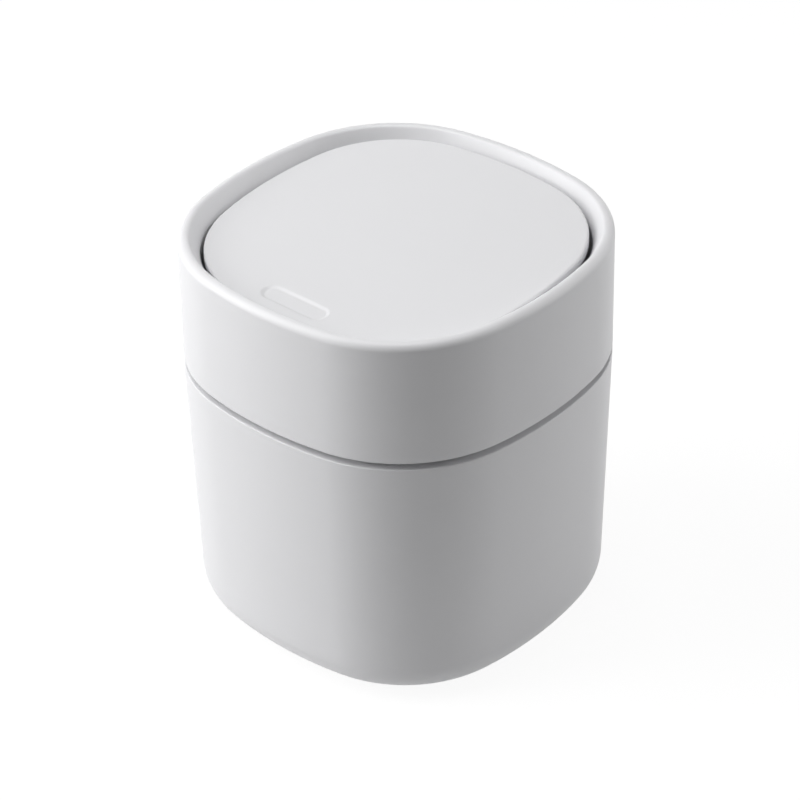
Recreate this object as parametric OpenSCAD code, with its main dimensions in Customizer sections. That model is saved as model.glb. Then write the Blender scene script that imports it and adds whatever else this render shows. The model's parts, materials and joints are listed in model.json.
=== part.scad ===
// Push top countertop bin: a tapered rounded-square bin, a head that lifts off its neck,
// and a sprung lid that sits inside the head's rim and is held by a push latch.
// Millimetres, +Z up, origin under the middle of the base, front (finger dimple) at -Y.

/* [Outline] */
// Width of the head across its flat sides
head_w = 130; // [122:1:150]
// Radius of the head's corners, seen from above
corner_r = 48.2; // [45:0.1:51]
// Overall height with the head on
total_h = 140; // [120:1:170]

/* [Bin body] */
// How far the base is drawn in from the shoulder, each side
body_taper = 2; // [0.5:0.1:4]
// Wall thickness of the bin
body_wall = 2.2; // [1.6:0.1:3]
// Radius of the round edge at the base
base_r = 8.5; // [5:0.1:11]
// Height of the neck above the shoulder
neck_h = 12; // [9:0.5:14]
// How far the neck stands in from the outline
neck_inset = 3.4; // [3:0.1:4.5]
// Thickness of the neck
neck_wall = 2; // [1.6:0.1:2.6]
// Thickness of the floor
floor_t = 1.4; // [1.2:0.1:2.4]
// Width of the rim that the base ends in
base_rim_w = 4.7; // [3:0.1:6]
// Depth of the hollow inside the base rim
base_hollow = 1.2; // [0.6:0.1:2]

/* [Foot pads] */
// Radius of a foot pad
pad_r = 5; // [3.5:0.1:6]
// How far a pad stands below the base rim
pad_proud = 0.6; // [0.3:0.1:1.2]
// Distance of the pads' centres in from the outline
pad_inset = 22; // [22:0.5:26]

/* [Head shell] */
// Height of the head, from its lower edge to its rim
head_h = 45.8; // [45.6:0.1:52]
// Height of the dark groove between bin and head
groove_h = 2.2; // [1.2:0.1:3]
// Wall thickness of the skirt
skirt_t = 2.2; // [1.8:0.1:2.4]
// How much narrower the head is at its top, each side
head_draft = 0.2; // [0:0.1:0.5]
// Radius of the rim on its outer side
rim_out_r = 2.2; // [1.5:0.1:2.6]
// Radius of the rim on its inner side
rim_in_r = 3.4; // [2.4:0.1:3.6]
// Inset of the highest line of the rim
rim_crest = 3; // [2.8:0.1:3.2]
// Thickness of the well wall
well_t = 1.8; // [1.4:0.1:2]
// How much the well narrows towards its shelf, each side
well_draft = 0.4; // [0:0.1:0.8]

/* [Head frame] */
// Height of the shelf's top above the neck's top
shelf_rise = 6.4; // [5:0.1:9]
// Thickness of the shelf
shelf_t = 2.4; // [1.8:0.1:3]
// Inset of the mouth's edge
mouth_inset = 20; // [19:0.5:21]
// Thickness of the frame's upright walls
frame_wall = 1.8; // [1.4:0.1:2]
// Length of the collar inside the neck
collar_h = 6.5; // [4:0.5:9]
// Gap between the collar and the neck, for the rim of a bag
bag_gap = 0.6; // [0.4:0.1:0.9]

/* [Lid] */
// Inset of the lid's edge
lid_inset = 8.8; // [8.4:0.1:9.4]
// Depth of the lid's top below the rim, at the hinge
lid_sink = 2.84; // [2.4:0.02:3.4]
// Slope of the closed lid down to its dimple, degrees
lid_dip = 1.8; // [0:0.1:2]
// Thickness of the panel
skin_t = 2; // [1.8:0.1:2.2]
// Depth of the panel's edge
flange_h = 3.4; // [3:0.1:3.6]
// Thickness of the panel's edge
flange_t = 1.4; // [1.2:0.1:1.8]
// Radius of the panel's top edge
lid_edge_r = 0.8; // [0.4:0.1:1]
// Thickness of the tray under the panel
tray_t = 1.4; // [1.2:0.1:1.6]
// Inset of the tray's deep middle
pan_inset = 32; // [31:0.5:34]
// How far the tray's middle hangs below its edge
pan_depth = 3.6; // [2.5:0.1:4.5]

/* [Dimple] */
// Length of the finger dimple
dimple_l = 27; // [20:0.5:34]
// Width of the finger dimple
dimple_w = 8.5; // [6:0.5:9]
// Depth of the finger dimple
dimple_d = 1.1; // [0.5:0.1:1.2]
// Distance of the dimple's middle from the lid's front edge
dimple_in = 6; // [5.5:0.1:9]

/* [Hinge] */
// Distance of the hinge axis from the lid's back edge
hinge_in = 22.2; // [20:0.1:24]
// Depth of the hinge axis below the lid's top
hinge_depth = 3.6; // [3.4:0.1:4]
// Radius of a hinge pin
pin_r = 1; // [0.8:0.05:1.1]
// Wall round a hinge pin
knuckle_wall = 0.9; // [0.8:0.1:1]
// Running clearance of a hinge pin, on the radius
pin_play = 0.05; // [0.03:0.01:0.08]
// Thickness of a hinge post along the pin
post_w = 3.6; // [3:0.1:4]
// Width of a lid knuckle along the pin
knuckle_w = 3.6; // [3:0.1:4]
// Wire diameter of a hinge spring
wire_d = 0.7; // [0.5:0.05:0.8]
// Curls in a hinge spring
hinge_curls = 3; // [2:1:3]

/* [Latch] */
// Width of the latch case
case_w = 14; // [13:0.5:17]
// Depth of the latch case, front to back
case_d = 10.4; // [9:0.1:11]
// Distance of the latch's middle from the lid's front edge
latch_in = 4.4; // [4.2:0.1:5]
// Length of the lugs beside the case
lug_l = 7; // [6:0.5:9]
// Thickness of a lug
lug_t = 2.4; // [1.8:0.1:3]
// Length of the striker under the tray
striker_l = 6.7; // [6.4:0.1:7]
// Travel of the latch when the lid is pressed
press_travel = 2.2; // [1.8:0.1:2.4]
// Radius of the striker's round head
striker_r = 1.8; // [1.5:0.1:2]
// Wire diameter of the latch spring
latch_wire_d = 0.5; // [0.4:0.05:0.6]
// Curls in the latch spring
latch_curls = 4; // [3:1:4]

/* [Screws] */
// Shaft radius of a screw
screw_r = 1.1; // [0.9:0.05:1.25]
// Head radius of a screw
screw_head_r = 2.1; // [1.8:0.1:2.4]
// Head height of a screw
screw_head_h = 1.2; // [0.8:0.1:1.6]

/* [Hidden] */
white = [0.88, 0.88, 0.89];
inner_white = [0.84, 0.84, 0.85];
steel = [0.7, 0.71, 0.73];
rubber_grey = [0.75, 0.75, 0.76];
$fn = 72;

function snap(v) = round(v * 1000) / 1000;

// The outline is a square with bowed sides and round corners: four wide side arcs and four corner
// arcs that meet with one tangent. The 11-60-61 triangle sets the centres, so every inset of the
// outline keeps the same eight centres.
tri_s = 11;
tri_c = 60;
tri_h = sqrt(pow(tri_s, 2) + pow(tri_c, 2));
unit = snap((head_w / 2 - corner_r) / (tri_h + tri_s - tri_c));
mid = tri_s * unit;
side_back = (tri_c - tri_s) * unit;
side_arc = head_w / 2 + side_back;
corner_arc = side_arc - tri_h * unit;
far = head_w / 100;

// Where the outline at an inset crosses a line across the object
function half_x(inset, y) = mid + sqrt(pow(corner_arc - inset, 2) - pow(y - mid, 2));
// A point on the corner's diagonal at an inset
function diagonal(inset) = snap(mid + (corner_arc - inset) * sin(45));

// Levels
shoulder_z = total_h - head_h - groove_h;
base_z = pad_proud;
hollow_z = base_z + base_hollow;
neck_top = shoulder_z + neck_h;
skirt_z = shoulder_z + groove_h;
shelf_z = neck_top + shelf_rise;
shelf_under = shelf_z - shelf_t;
edge_r = 0.6;

// Insets of the head
well_inset = rim_crest + rim_in_r;
well_foot = well_inset + well_draft;
skirt_gap = 0.3;
wall_a_out = neck_inset + 0.2;
wall_a_in = neck_inset + neck_wall;
collar_out = wall_a_in + bag_gap;
collar_in = collar_out + frame_wall - 0.2;
step_t = 2;

// Lid and hinge, with heights counted from the hinge axis in the lid's own level frame
axis_y = snap(head_w / 2 - lid_inset - hinge_in);
axis_z = snap(total_h - lid_sink - hinge_depth);
skin_under = hinge_depth - skin_t;
tray_under = skin_under - tray_t;
flange_under = hinge_depth - flange_h;
pan_under = tray_under - pan_depth;
knuckle_r = pin_r + knuckle_wall;
tray_gap = 0.4;

// Places along the hinge axis, on the right-hand side
side_gap = 0.4;
post_out = snap(half_x(lid_inset + flange_t, axis_y) - 4.5);
post_in = post_out - post_w;
knuckle_out = post_in - side_gap;
knuckle_in = knuckle_out - knuckle_w;
coil_r = pin_r + 0.55 + wire_d / 2;
coil_pitch = wire_d + 0.55;
coil_out = knuckle_in - side_gap - wire_d / 2;
coil_in = coil_out - (hinge_curls - 0.25) * coil_pitch;
pin_in = coil_in - wire_d / 2 - 0.6;
pin_out = post_out + 0.5;
pocket_out = pin_out + side_gap;
leg_l = 12;
press_turn = 1.2;
ledge_z = -11;
ledge_h = 3;

// Latch
latch_y = snap(-(head_w / 2 - lid_inset - latch_in));
chamber_w = 9;
chamber_d = 6.4;
slide_gap = 0.3;
tray_at_latch = axis_z + tray_under - (axis_y - latch_y) * tan(lid_dip);
tip_z = snap(tray_at_latch - striker_l);
case_top = tip_z;
case_h = case_top - shelf_z;
guide_r = 0.4;
slot_h = press_travel + 2 * guide_r + 0.4;
cup_z = tip_z - press_travel + 0.1;
slider_z = cup_z - slot_h - 1.4;
slot_z = slider_z + 0.6;
chamber_floor = shelf_z + 1.6;
spring_h = slider_z - chamber_floor;
striker_h = 2;
hook_z = tip_z + striker_h + 0.3;
hook_h = 1.5;
jaw_t = 1.6;
jaw_gap = 0.1;
wall_gap = 0.8;
coil_l_r = 1.9;
latch_leg = 0.7;
latch_coil_h = spring_h - 2 * latch_leg;

// Screws
boss_r = 3;
boss_h = 7;
hole_play = 0.03;
screw_into_boss = 4.5;
lid_boss_r = 2.8;
lid_boss_inset = pan_inset + tray_t + lid_boss_r + 1;

function arc(cx, cz, r, from, to, steps) = [
    for (i = [0:steps])
        let (a = from + (to - from) * i / steps)
        [snap(cx + r * cos(a)), snap(cz + r * sin(a))]
];

// Radius of a turned profile at an inset. Past the corner's centre it reaches the axis.
function turned(r, inset) = inset >= corner_arc ? 0 : r - inset;

// One side's share of the plan and one corner's share. Eight of them tile it.
module side_zone(z0, z1) {
    translate([0, 0, z0])
        linear_extrude(z1 - z0)
            polygon([
                [0, 0],
                [mid, -mid],
                [mid + tri_c * far, -mid - tri_s * far],
                [mid + tri_c * far, mid + tri_s * far],
                [mid, mid]
            ]);
}

module corner_zone(z0, z1) {
    translate([0, 0, z0])
        linear_extrude(z1 - z0)
            polygon([
                [mid, mid],
                [mid + tri_c * far, mid + tri_s * far],
                [mid + tri_s * far, mid + tri_c * far]
            ]);
}

// Sweeps a section round the outline. A point of the section is [inset from the outline, height].
module round_outline(section) {
    low = min([for (p = section) p[1]]) - 1;
    high = max([for (p = section) p[1]]) + 1;
    for (k = [0:3])
        rotate([0, 0, 90 * k]) {
            intersection() {
                translate([-side_back, 0, 0])
                    rotate([0, 0, 180])
                        rotate_extrude()
                            polygon([for (p = section) [turned(side_arc, p[0]), p[1]]]);
                side_zone(low, high);
            }
            intersection() {
                translate([mid, mid, 0])
                    rotate([0, 0, 180])
                        rotate_extrude()
                            polygon([for (p = section) [turned(corner_arc, p[0]), p[1]]]);
                corner_zone(low, high);
            }
        }
}

module at_corners(inset) {
    d = diagonal(inset);
    for (x = [-d, d], y = [-d, d])
        translate([x, y, 0])
            children();
}

// Puts a piece that is drawn level, with heights counted from the hinge axis, where the closed lid lies
module lid_place() {
    translate([0, axis_y, axis_z])
        rotate([lid_dip, 0, 0])
            translate([0, -axis_y, 0])
                children();
}

// A bar along X
module bar(x0, x1, r) {
    translate([x0, 0, 0])
        rotate([0, 90, 0])
            cylinder(r = r, h = x1 - x0);
}

module block(low, high) {
    translate(low)
        cube(high - low);
}

// A round-headed cross-recess screw that points up from z = 0, head below
module screw(length) {
    recess_w = 0.5;
    difference() {
        union() {
            cylinder(r = screw_r, h = length);
            translate([0, 0, -screw_head_h * 0.6])
                cylinder(r = screw_head_r, h = screw_head_h * 0.6);
            translate([0, 0, -screw_head_h])
                cylinder(r1 = screw_head_r * 0.72, r2 = screw_head_r, h = screw_head_h * 0.4);
        }
        for (turn = [0, 90])
            rotate([0, 0, turn])
                translate([-screw_head_r * 0.6, -recess_w / 2, -screw_head_h - 1])
                    cube([screw_head_r * 1.2, recess_w, 1 + screw_head_h * 0.5]);
    }
}

// A tube of six sides along points. Each ring is laid square to the path, turned to keep one side
// level with the given direction.
module wire(path, r, toward) {
    n = len(path);
    rings = [
        for (i = [0:n - 1])
            let (
                t = path[min(i + 1, n - 1)] - path[max(i - 1, 0)],
                along = t / norm(t),
                side0 = cross(along, toward),
                side = side0 / norm(side0),
                up = cross(side, along)
            )
            for (k = [0:5])
                path[i] + r * (side * cos(60 * k) + up * sin(60 * k))
    ];
    walls = [
        for (i = [0:n - 2], k = [0:5])
            let (a = i * 6 + k, b = i * 6 + (k + 1) % 6)
            each [[a, b, b + 6], [a, b + 6, a + 6]]
    ];
    first = [for (k = [1:4]) [0, k + 1, k]];
    last = [for (k = [1:4]) [(n - 1) * 6, (n - 1) * 6 + k, (n - 1) * 6 + k + 1]];
    polyhedron(rings, concat(walls, first, last));
}

// Least gap between stretches of a wire that are more than half a curl apart
function least_gap(path, d, skip) = min([
    for (i = [0:len(path) - 1 - skip])
        for (j = [i + skip:len(path) - 1])
            norm(path[i] - path[j]) - d
]);

// Bin

body_section = concat(
    arc(body_taper + base_r, base_z + base_r, base_r, 270, 180, 8),
    arc(edge_r, shoulder_z - edge_r, edge_r, 180, 90, 3),
    [
        [neck_inset, shoulder_z],
        [neck_inset, neck_top - 0.5],
        [neck_inset + 0.4, neck_top],
        [wall_a_in - 0.3, neck_top],
        [wall_a_in, neck_top - 0.3],
        [wall_a_in, shoulder_z - body_wall],
        [body_wall, shoulder_z - body_wall - (wall_a_in - body_wall)]
    ],
    arc(
        body_taper + base_r, hollow_z + floor_t + base_r - body_wall,
        base_r - body_wall, 180, 270, 6
    ),
    [
        [corner_arc, hollow_z + floor_t],
        [corner_arc, hollow_z],
        [body_taper + base_r + base_rim_w + base_hollow, hollow_z],
        [body_taper + base_r + base_rim_w, base_z]
    ]
);

module bin_body() {
    color(white)
        round_outline(body_section);
}

module foot_pads() {
    color(rubber_grey)
        at_corners(pad_inset) {
            translate([0, 0, edge_r])
                cylinder(r = pad_r, h = hollow_z - edge_r);
            cylinder(r1 = pad_r - edge_r, r2 = pad_r, h = edge_r);
        }
}

// Head

shell_section = concat(
    [[edge_r, skirt_z], [0, skirt_z + edge_r]],
    arc(head_draft + rim_out_r, total_h - rim_out_r, rim_out_r, 180, 90, 6),
    arc(rim_crest, total_h - rim_in_r, rim_in_r, 90, 0, 8),
    [
        [well_foot, shelf_z],
        [well_foot - well_t, shelf_z],
        [well_inset - well_t, total_h - rim_in_r - edge_r],
        [skirt_t + head_draft, total_h - rim_in_r - edge_r],
        [skirt_t, skirt_z]
    ]
);
boss_inset = well_foot + boss_r - 0.9;

module head_shell() {
    color(white)
        difference() {
            union() {
                round_outline(shell_section);
                at_corners(boss_inset)
                    translate([0, 0, shelf_z])
                        cylinder(r = boss_r, h = boss_h);
            }
            at_corners(boss_inset)
                translate([0, 0, shelf_z - 1])
                    cylinder(r = screw_r + hole_play, h = screw_into_boss + 1.5);
        }
}

frame_section = [
    [skirt_t + skirt_gap, shelf_z],
    [mouth_inset - edge_r, shelf_z],
    [mouth_inset, shelf_z - edge_r],
    [mouth_inset, neck_top],
    [mouth_inset - frame_wall, neck_top],
    [mouth_inset - frame_wall, shelf_under],
    [wall_a_in, shelf_under],
    [wall_a_in, neck_top + step_t],
    [collar_in, neck_top + step_t],
    [collar_in, neck_top - collar_h],
    [collar_out + 0.4, neck_top - collar_h],
    [collar_out, neck_top - collar_h + 1],
    [collar_out, neck_top],
    [wall_a_out, neck_top],
    [wall_a_out, shelf_under],
    [skirt_t + skirt_gap, shelf_under]
];

// A hinge post, drawn as its side view and stood beside the knuckle, with the ledge that holds the
// spring's lower leg
post_front = -3.4;
post_back = 0.6;
post_foot_front = -8;
post_foot_back = 5;
post_waist = -11.5;
post_foot_z = shelf_z - 1 - axis_z;

module hinge_post() {
    translate([0, axis_y, axis_z]) {
        difference() {
            union() {
                bar(post_in, post_out, knuckle_r);
                translate([post_in, 0, 0])
                    rotate([90, 0, 90])
                        linear_extrude(post_w)
                            polygon([
                                [post_foot_front, post_foot_z],
                                [post_foot_back, post_foot_z],
                                [post_foot_back, post_waist - 5],
                                [post_back, post_waist],
                                [post_back, 0],
                                [-knuckle_r, 0],
                                [post_front, -knuckle_r],
                                [post_front, post_waist],
                                [post_foot_front, post_waist - 5]
                            ]);
                block(
                    [knuckle_in - side_gap - wire_d - 0.4, 0.2 - coil_r + wire_d / 2, ledge_z],
                    [post_in, post_back, ledge_z + ledge_h]
                );
            }
            bar(post_in - 1, post_out + 1, pin_r + 0.02);
        }
    }
}

module head_frame() {
    color(inner_white)
        difference() {
            union() {
                round_outline(frame_section);
                hinge_post();
                mirror([1, 0, 0])
                    hinge_post();
            }
            at_corners(boss_inset)
                translate([0, 0, shelf_under - 1])
                    cylinder(r = screw_r + hole_play, h = shelf_t + 2);
            for (side = [-1, 1])
                translate([side * (case_w / 2 + lug_l / 2), latch_y, shelf_under - 1])
                    cylinder(r = screw_r + hole_play, h = shelf_t + 2);
        }
}

module frame_screws() {
    color(steel)
        at_corners(boss_inset)
            translate([0, 0, shelf_under])
                screw(shelf_t + screw_into_boss);
}

module hinge_pin() {
    chamfer = 0.25;
    translate([0, axis_y, axis_z]) {
        bar(pin_in + chamfer, pin_out - chamfer, pin_r);
        translate([pin_in, 0, 0])
            rotate([0, 90, 0])
                cylinder(r1 = pin_r - chamfer, r2 = pin_r, h = chamfer);
        translate([pin_out - chamfer, 0, 0])
            rotate([0, 90, 0])
                cylinder(r1 = pin_r, r2 = pin_r - chamfer, h = chamfer);
    }
}

module hinge_pin_left() {
    color(steel)
        mirror([1, 0, 0])
            hinge_pin();
}

module hinge_pin_right() {
    color(steel)
        hinge_pin();
}

// The hinge spring's path: the lid's leg comes in below the pin, the curls climb along it, and the
// other leg goes down in front of the ledge
curl_rings = 8;
hinge_sweep = hinge_curls * 360 - 90;
hinge_rings = hinge_sweep / 360 * curl_rings;
hinge_path = concat(
    [
        for (i = [0:3])
            let (y = -leg_l + i * (leg_l - wire_d) / 3)
            [coil_in, y, -coil_r + y * tan(lid_dip + press_turn)]
    ],
    [
        for (i = [0:hinge_rings])
            let (a = 270 + hinge_sweep * i / hinge_rings)
            [coil_in + (coil_out - coil_in) * i / hinge_rings, coil_r * cos(a), coil_r * sin(a)]
    ],
    [for (i = [0:2]) [coil_out, -coil_r, -wire_d + i * (ledge_z + 1 + wire_d) / 2]]
);

module hinge_spring() {
    translate([0, axis_y, axis_z])
        wire(hinge_path, wire_d / 2, [1, 0, 0]);
}

module hinge_spring_left() {
    color(steel)
        mirror([1, 0, 0])
            hinge_spring();
}

module hinge_spring_right() {
    color(steel)
        hinge_spring();
}

// Latch

module latch_case_solid() {
    r = 1.5;
    translate([-case_w / 2, -case_d / 2 + r, 0])
        cube([case_w, case_d - 2 * r, case_h]);
    translate([-case_w / 2 + r, -case_d / 2, 0])
        cube([case_w - 2 * r, case_d, case_h]);
    for (x = [-1, 1], y = [-1, 1])
        translate([x * (case_w / 2 - r), y * (case_d / 2 - r), 0])
            cylinder(r = r, h = case_h);
    lug_r = screw_head_r + 0.9;
    for (side = [-1, 1]) {
        translate([side * (case_w / 2 + lug_l / 2), 0, 0])
            cylinder(r = lug_r, h = lug_t);
        translate([side > 0 ? case_w / 2 - 1 : -case_w / 2 - lug_l / 2, -lug_r, 0])
            cube([lug_l / 2 + 1, 2 * lug_r, lug_t]);
    }
}

guide_w = 1.4;
guide_depth = 1.1;

module latch_housing() {
    color(inner_white)
        difference() {
            translate([0, latch_y, shelf_z])
                latch_case_solid();
            block(
                [-chamber_w / 2, latch_y - chamber_d / 2, chamber_floor],
                [chamber_w / 2, latch_y + chamber_d / 2, case_top + 1]
            );
            block(
                [-guide_w / 2, latch_y + chamber_d / 2 - 1, chamber_floor],
                [guide_w / 2, latch_y + chamber_d / 2 + guide_depth, case_top - 1]
            );
            for (side = [-1, 1])
                translate([side * (case_w / 2 + lug_l / 2), latch_y, shelf_z - 1])
                    cylinder(r = screw_r + hole_play, h = lug_t + 2);
        }
}

// The slider is drawn as its front view: a block with a cup, and two jaws that close over the
// striker's head. The jaws flex in use, so they are drawn just clear of it.
jaw_in = striker_r + jaw_gap;
slider_half = chamber_w / 2 - slide_gap;
slider_half_d = chamber_d / 2 - slide_gap;
jaw_root = slider_half - jaw_t;

module latch_slider() {
    half_view = [
        [0, slider_z],
        [slider_half, slider_z],
        [slider_half, hook_z + 0.4],
        [slider_half - 0.6, hook_z + hook_h],
        [jaw_in + 0.5, hook_z + hook_h],
        [jaw_in, hook_z + hook_h - 0.8],
        [jaw_in, hook_z],
        [jaw_root, hook_z],
        [jaw_root, cup_z],
        [0, cup_z]
    ];
    color(steel * 0.9)
        difference() {
            translate([0, latch_y + slider_half_d, 0])
                rotate([90, 0, 0])
                    linear_extrude(2 * slider_half_d)
                        polygon(concat(
                            half_view,
                            [for (i = [len(half_view) - 2:-1:1]) [-half_view[i][0], half_view[i][1]]]
                        ));
            block(
                [-guide_w / 2, latch_y + slider_half_d - 0.8, slot_z],
                [guide_w / 2, latch_y + slider_half_d + 1, slot_z + slot_h]
            );
        }
}

latch_rings = latch_curls * curl_rings;
latch_path = concat(
    [[coil_l_r, 0, 0.02]],
    [[coil_l_r, 0, latch_leg - 0.1]],
    [
        for (i = [1:latch_rings - 1])
            let (a = 360 * latch_curls * i / latch_rings)
            [
                coil_l_r * cos(a), coil_l_r * sin(a),
                latch_leg + latch_coil_h * i / latch_rings
            ]
    ],
    [[coil_l_r, 0, spring_h - latch_leg + 0.1]],
    [[coil_l_r, 0, spring_h - 0.02]]
);

module latch_spring() {
    color(steel)
        translate([0, latch_y, chamber_floor])
            wire(latch_path, latch_wire_d / 2, [0.1, 1, 0]);
}

// The guide pin stands in the case's groove with its bent end in the slider's slot
module latch_guide_pin() {
    guide_y = latch_y + chamber_d / 2 + guide_depth / 2;
    end_z = slot_z + guide_r + 0.2;
    color(steel) {
        translate([0, guide_y, chamber_floor])
            cylinder(r = guide_r, h = end_z - chamber_floor);
        translate([0, guide_y, end_z])
            sphere(r = guide_r);
        translate([0, guide_y, end_z])
            rotate([90, 0, 0])
                cylinder(r = guide_r, h = guide_y - latch_y - slider_half_d + 0.5);
    }
}

module latch_screws() {
    color(steel)
        for (side = [-1, 1])
            translate([side * (case_w / 2 + lug_l / 2), latch_y, shelf_z + lug_t])
                mirror([0, 0, 1])
                    screw(lug_t + shelf_t + 1.2);
}

// Lid

panel_section = concat(
    [[lid_inset, flange_under]],
    arc(lid_inset + lid_edge_r, hinge_depth - lid_edge_r, lid_edge_r, 180, 90, 4),
    [
        [corner_arc, hinge_depth],
        [corner_arc, skin_under],
        [lid_inset + flange_t, skin_under],
        [lid_inset + flange_t, flange_under]
    ]
);
dimple_y = snap(-(head_w / 2 - lid_inset - dimple_in));

// Half of the dimple's depth profile, turned at each end and drawn out between them
dimple_wall = 0.8;

module dimple() {
    half_w = dimple_w / 2;
    reach = (dimple_l - dimple_w) / 2;
    for (side = [-1, 1])
        translate([side * reach, dimple_y, hinge_depth])
            rotate_extrude()
                polygon([
                    [0, -dimple_d],
                    [half_w - dimple_wall, -dimple_d],
                    [half_w, 0],
                    [half_w, 1],
                    [0, 1]
                ]);
    translate([-reach, dimple_y, hinge_depth])
        rotate([90, 0, 90])
            linear_extrude(2 * reach)
                polygon([
                    [-half_w, 0],
                    [-half_w + dimple_wall, -dimple_d],
                    [half_w - dimple_wall, -dimple_d],
                    [half_w, 0],
                    [half_w, 1],
                    [-half_w, 1]
                ]);
}

pocket_half = coil_r + wire_d / 2 + 0.5;
pocket_top = coil_r + wire_d / 2 + 0.2;

module hinge_pocket(x0, x1, top) {
    for (side = [0, 1])
        mirror([side, 0, 0])
            block([x0, axis_y - pocket_half, -1], [x1, axis_y + pocket_half, top]);
}

module lid_bosses(r, z0, z1) {
    at_corners(lid_boss_inset)
        translate([0, 0, z0])
            cylinder(r = r, h = z1 - z0);
}

module lid_panel() {
    color(white)
        lid_place()
            difference() {
                union() {
                    round_outline(panel_section);
                    lid_bosses(lid_boss_r, pan_under + tray_t, skin_under + 0.5);
                }
                dimple();
                hinge_pocket(coil_in - wire_d - 0.5, pocket_out, pocket_top);
                lid_bosses(screw_r + hole_play, pan_under, skin_under - 0.2);
            }
}

pan_slope = 1;
tray_section = [
    [lid_inset + flange_t + tray_gap, skin_under],
    [lid_inset + flange_t + tray_gap, tray_under],
    [pan_inset - pan_slope, tray_under],
    [pan_inset, pan_under],
    [corner_arc, pan_under],
    [corner_arc, pan_under + tray_t],
    [pan_inset + tray_t, pan_under + tray_t],
    [pan_inset + tray_t - pan_slope, skin_under]
];
pad_rib_z = -coil_r + wire_d / 2 + 0.35;

module lid_knuckle() {
    translate([0, axis_y, 0]) {
        bar(knuckle_in, knuckle_out, knuckle_r);
        block([knuckle_in, -knuckle_r, 0], [knuckle_out, knuckle_r, tray_under + 0.5]);
        block(
            [coil_in - wire_d, -leg_l - 0.5, pad_rib_z],
            [coil_in + wire_d, -leg_l + 2.5, tray_under + 0.5]
        );
    }
}

module lid_inner() {
    color(inner_white)
        lid_place()
            difference() {
                union() {
                    difference() {
                        round_outline(tray_section);
                        hinge_pocket(coil_in - wire_d - 0.5, knuckle_in, skin_under + 1);
                        hinge_pocket(knuckle_out, pocket_out, skin_under + 1);
                    }
                    lid_knuckle();
                    mirror([1, 0, 0])
                        lid_knuckle();
                }
                translate([0, axis_y, 0])
                    for (side = [0, 1])
                        mirror([side, 0, 0])
                            bar(knuckle_in - 1, knuckle_out + 1, pin_r + pin_play);
                lid_bosses(screw_r + hole_play, pan_under - 1, pan_under + tray_t + 1);
            }
}

// The striker stands square to the lid, where its head meets the jaws
striker_rel_y = (latch_y - axis_y);
striker_rel_z = (tip_z + striker_h / 2 - axis_z);
striker_y = snap(axis_y + striker_rel_y * cos(lid_dip) + striker_rel_z * sin(lid_dip));
striker_z = snap(striker_rel_z * cos(lid_dip) - striker_rel_y * sin(lid_dip));

module latch_striker() {
    stem_r = 1;
    foot_r = 3.2;
    foot_h = 0.6;
    head_low = striker_z - striker_h / 2;
    color(inner_white)
        lid_place()
            translate([0, striker_y, 0]) {
                translate([0, 0, tray_under - foot_h])
                    cylinder(r = foot_r, h = foot_h);
                translate([0, 0, head_low])
                    cylinder(r = stem_r, h = tray_under - head_low);
                translate([0, 0, head_low])
                    cylinder(r1 = stem_r, r2 = striker_r, h = striker_h * 0.6);
                translate([0, 0, head_low + striker_h * 0.6])
                    cylinder(r1 = striker_r, r2 = stem_r, h = striker_h * 0.4);
            }
}

module lid_screws() {
    color(steel)
        lid_place()
            at_corners(lid_boss_inset)
                translate([0, 0, pan_under])
                    screw(pan_depth + tray_t - 0.4);
}

echo(hinge_spring_gap = least_gap(hinge_path, wire_d, 6));
echo(latch_spring_gap = least_gap(latch_path, latch_wire_d, 6));

bin_body();
foot_pads();
head_shell();
head_frame();
frame_screws();
hinge_pin_left();
hinge_pin_right();
hinge_spring_left();
hinge_spring_right();
latch_housing();
latch_slider();
latch_spring();
latch_guide_pin();
latch_screws();
lid_panel();
lid_inner();
latch_striker();
lid_screws();
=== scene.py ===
"""Dresses the push top countertop bin: moulded shells, sprung lid, push latch and a plain stage."""

import json
import math

import bmesh
import bpy
from bpy.props import FloatProperty, FloatVectorProperty, IntProperty, PointerProperty
from bpy.types import Operator, Panel, PropertyGroup
from mathutils import Matrix, Vector
from mathutils.geometry import tessellate_polygon


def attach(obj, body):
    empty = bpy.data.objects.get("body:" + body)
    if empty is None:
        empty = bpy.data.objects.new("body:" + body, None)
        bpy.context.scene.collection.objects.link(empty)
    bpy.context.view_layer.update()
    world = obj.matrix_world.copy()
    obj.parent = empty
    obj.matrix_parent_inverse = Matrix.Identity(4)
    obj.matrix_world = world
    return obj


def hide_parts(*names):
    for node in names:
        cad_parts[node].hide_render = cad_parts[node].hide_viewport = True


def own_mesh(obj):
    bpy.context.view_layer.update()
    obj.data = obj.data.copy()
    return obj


bl_info = {
    "name": "Countertop Bin",
    "version": (1, 0, 0),
    "blender": (4, 5, 0),
    "location": "3D View > Sidebar > Countertop Bin",
    "description": "Builds the pieces and finishes of a push top countertop bin",
    "category": "Object",
}

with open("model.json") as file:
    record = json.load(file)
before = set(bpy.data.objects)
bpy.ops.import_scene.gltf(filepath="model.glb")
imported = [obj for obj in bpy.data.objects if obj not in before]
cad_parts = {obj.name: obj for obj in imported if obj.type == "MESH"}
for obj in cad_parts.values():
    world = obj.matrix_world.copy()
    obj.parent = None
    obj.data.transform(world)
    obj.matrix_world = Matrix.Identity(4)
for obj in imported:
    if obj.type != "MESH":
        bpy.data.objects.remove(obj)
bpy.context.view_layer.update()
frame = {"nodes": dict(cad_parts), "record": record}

MM = 0.001
IMAGE_SIDE = 800

# Samples round the outline: along one wide side arc and along one corner arc
SIDE_STEPS = 16
CORNER_STEPS = 60

# Points closer than this are merged, in metres, and faces that meet at less than this angle, in
# degrees, shade as one
MERGE = 1e-6
FINE_MERGE = 1e-7
SMOOTH = 40
SHARP = 35
WIRE_SMOOTH = 50

# Flat sides of a round wire's section
WIRE_SIDES = 16


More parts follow.
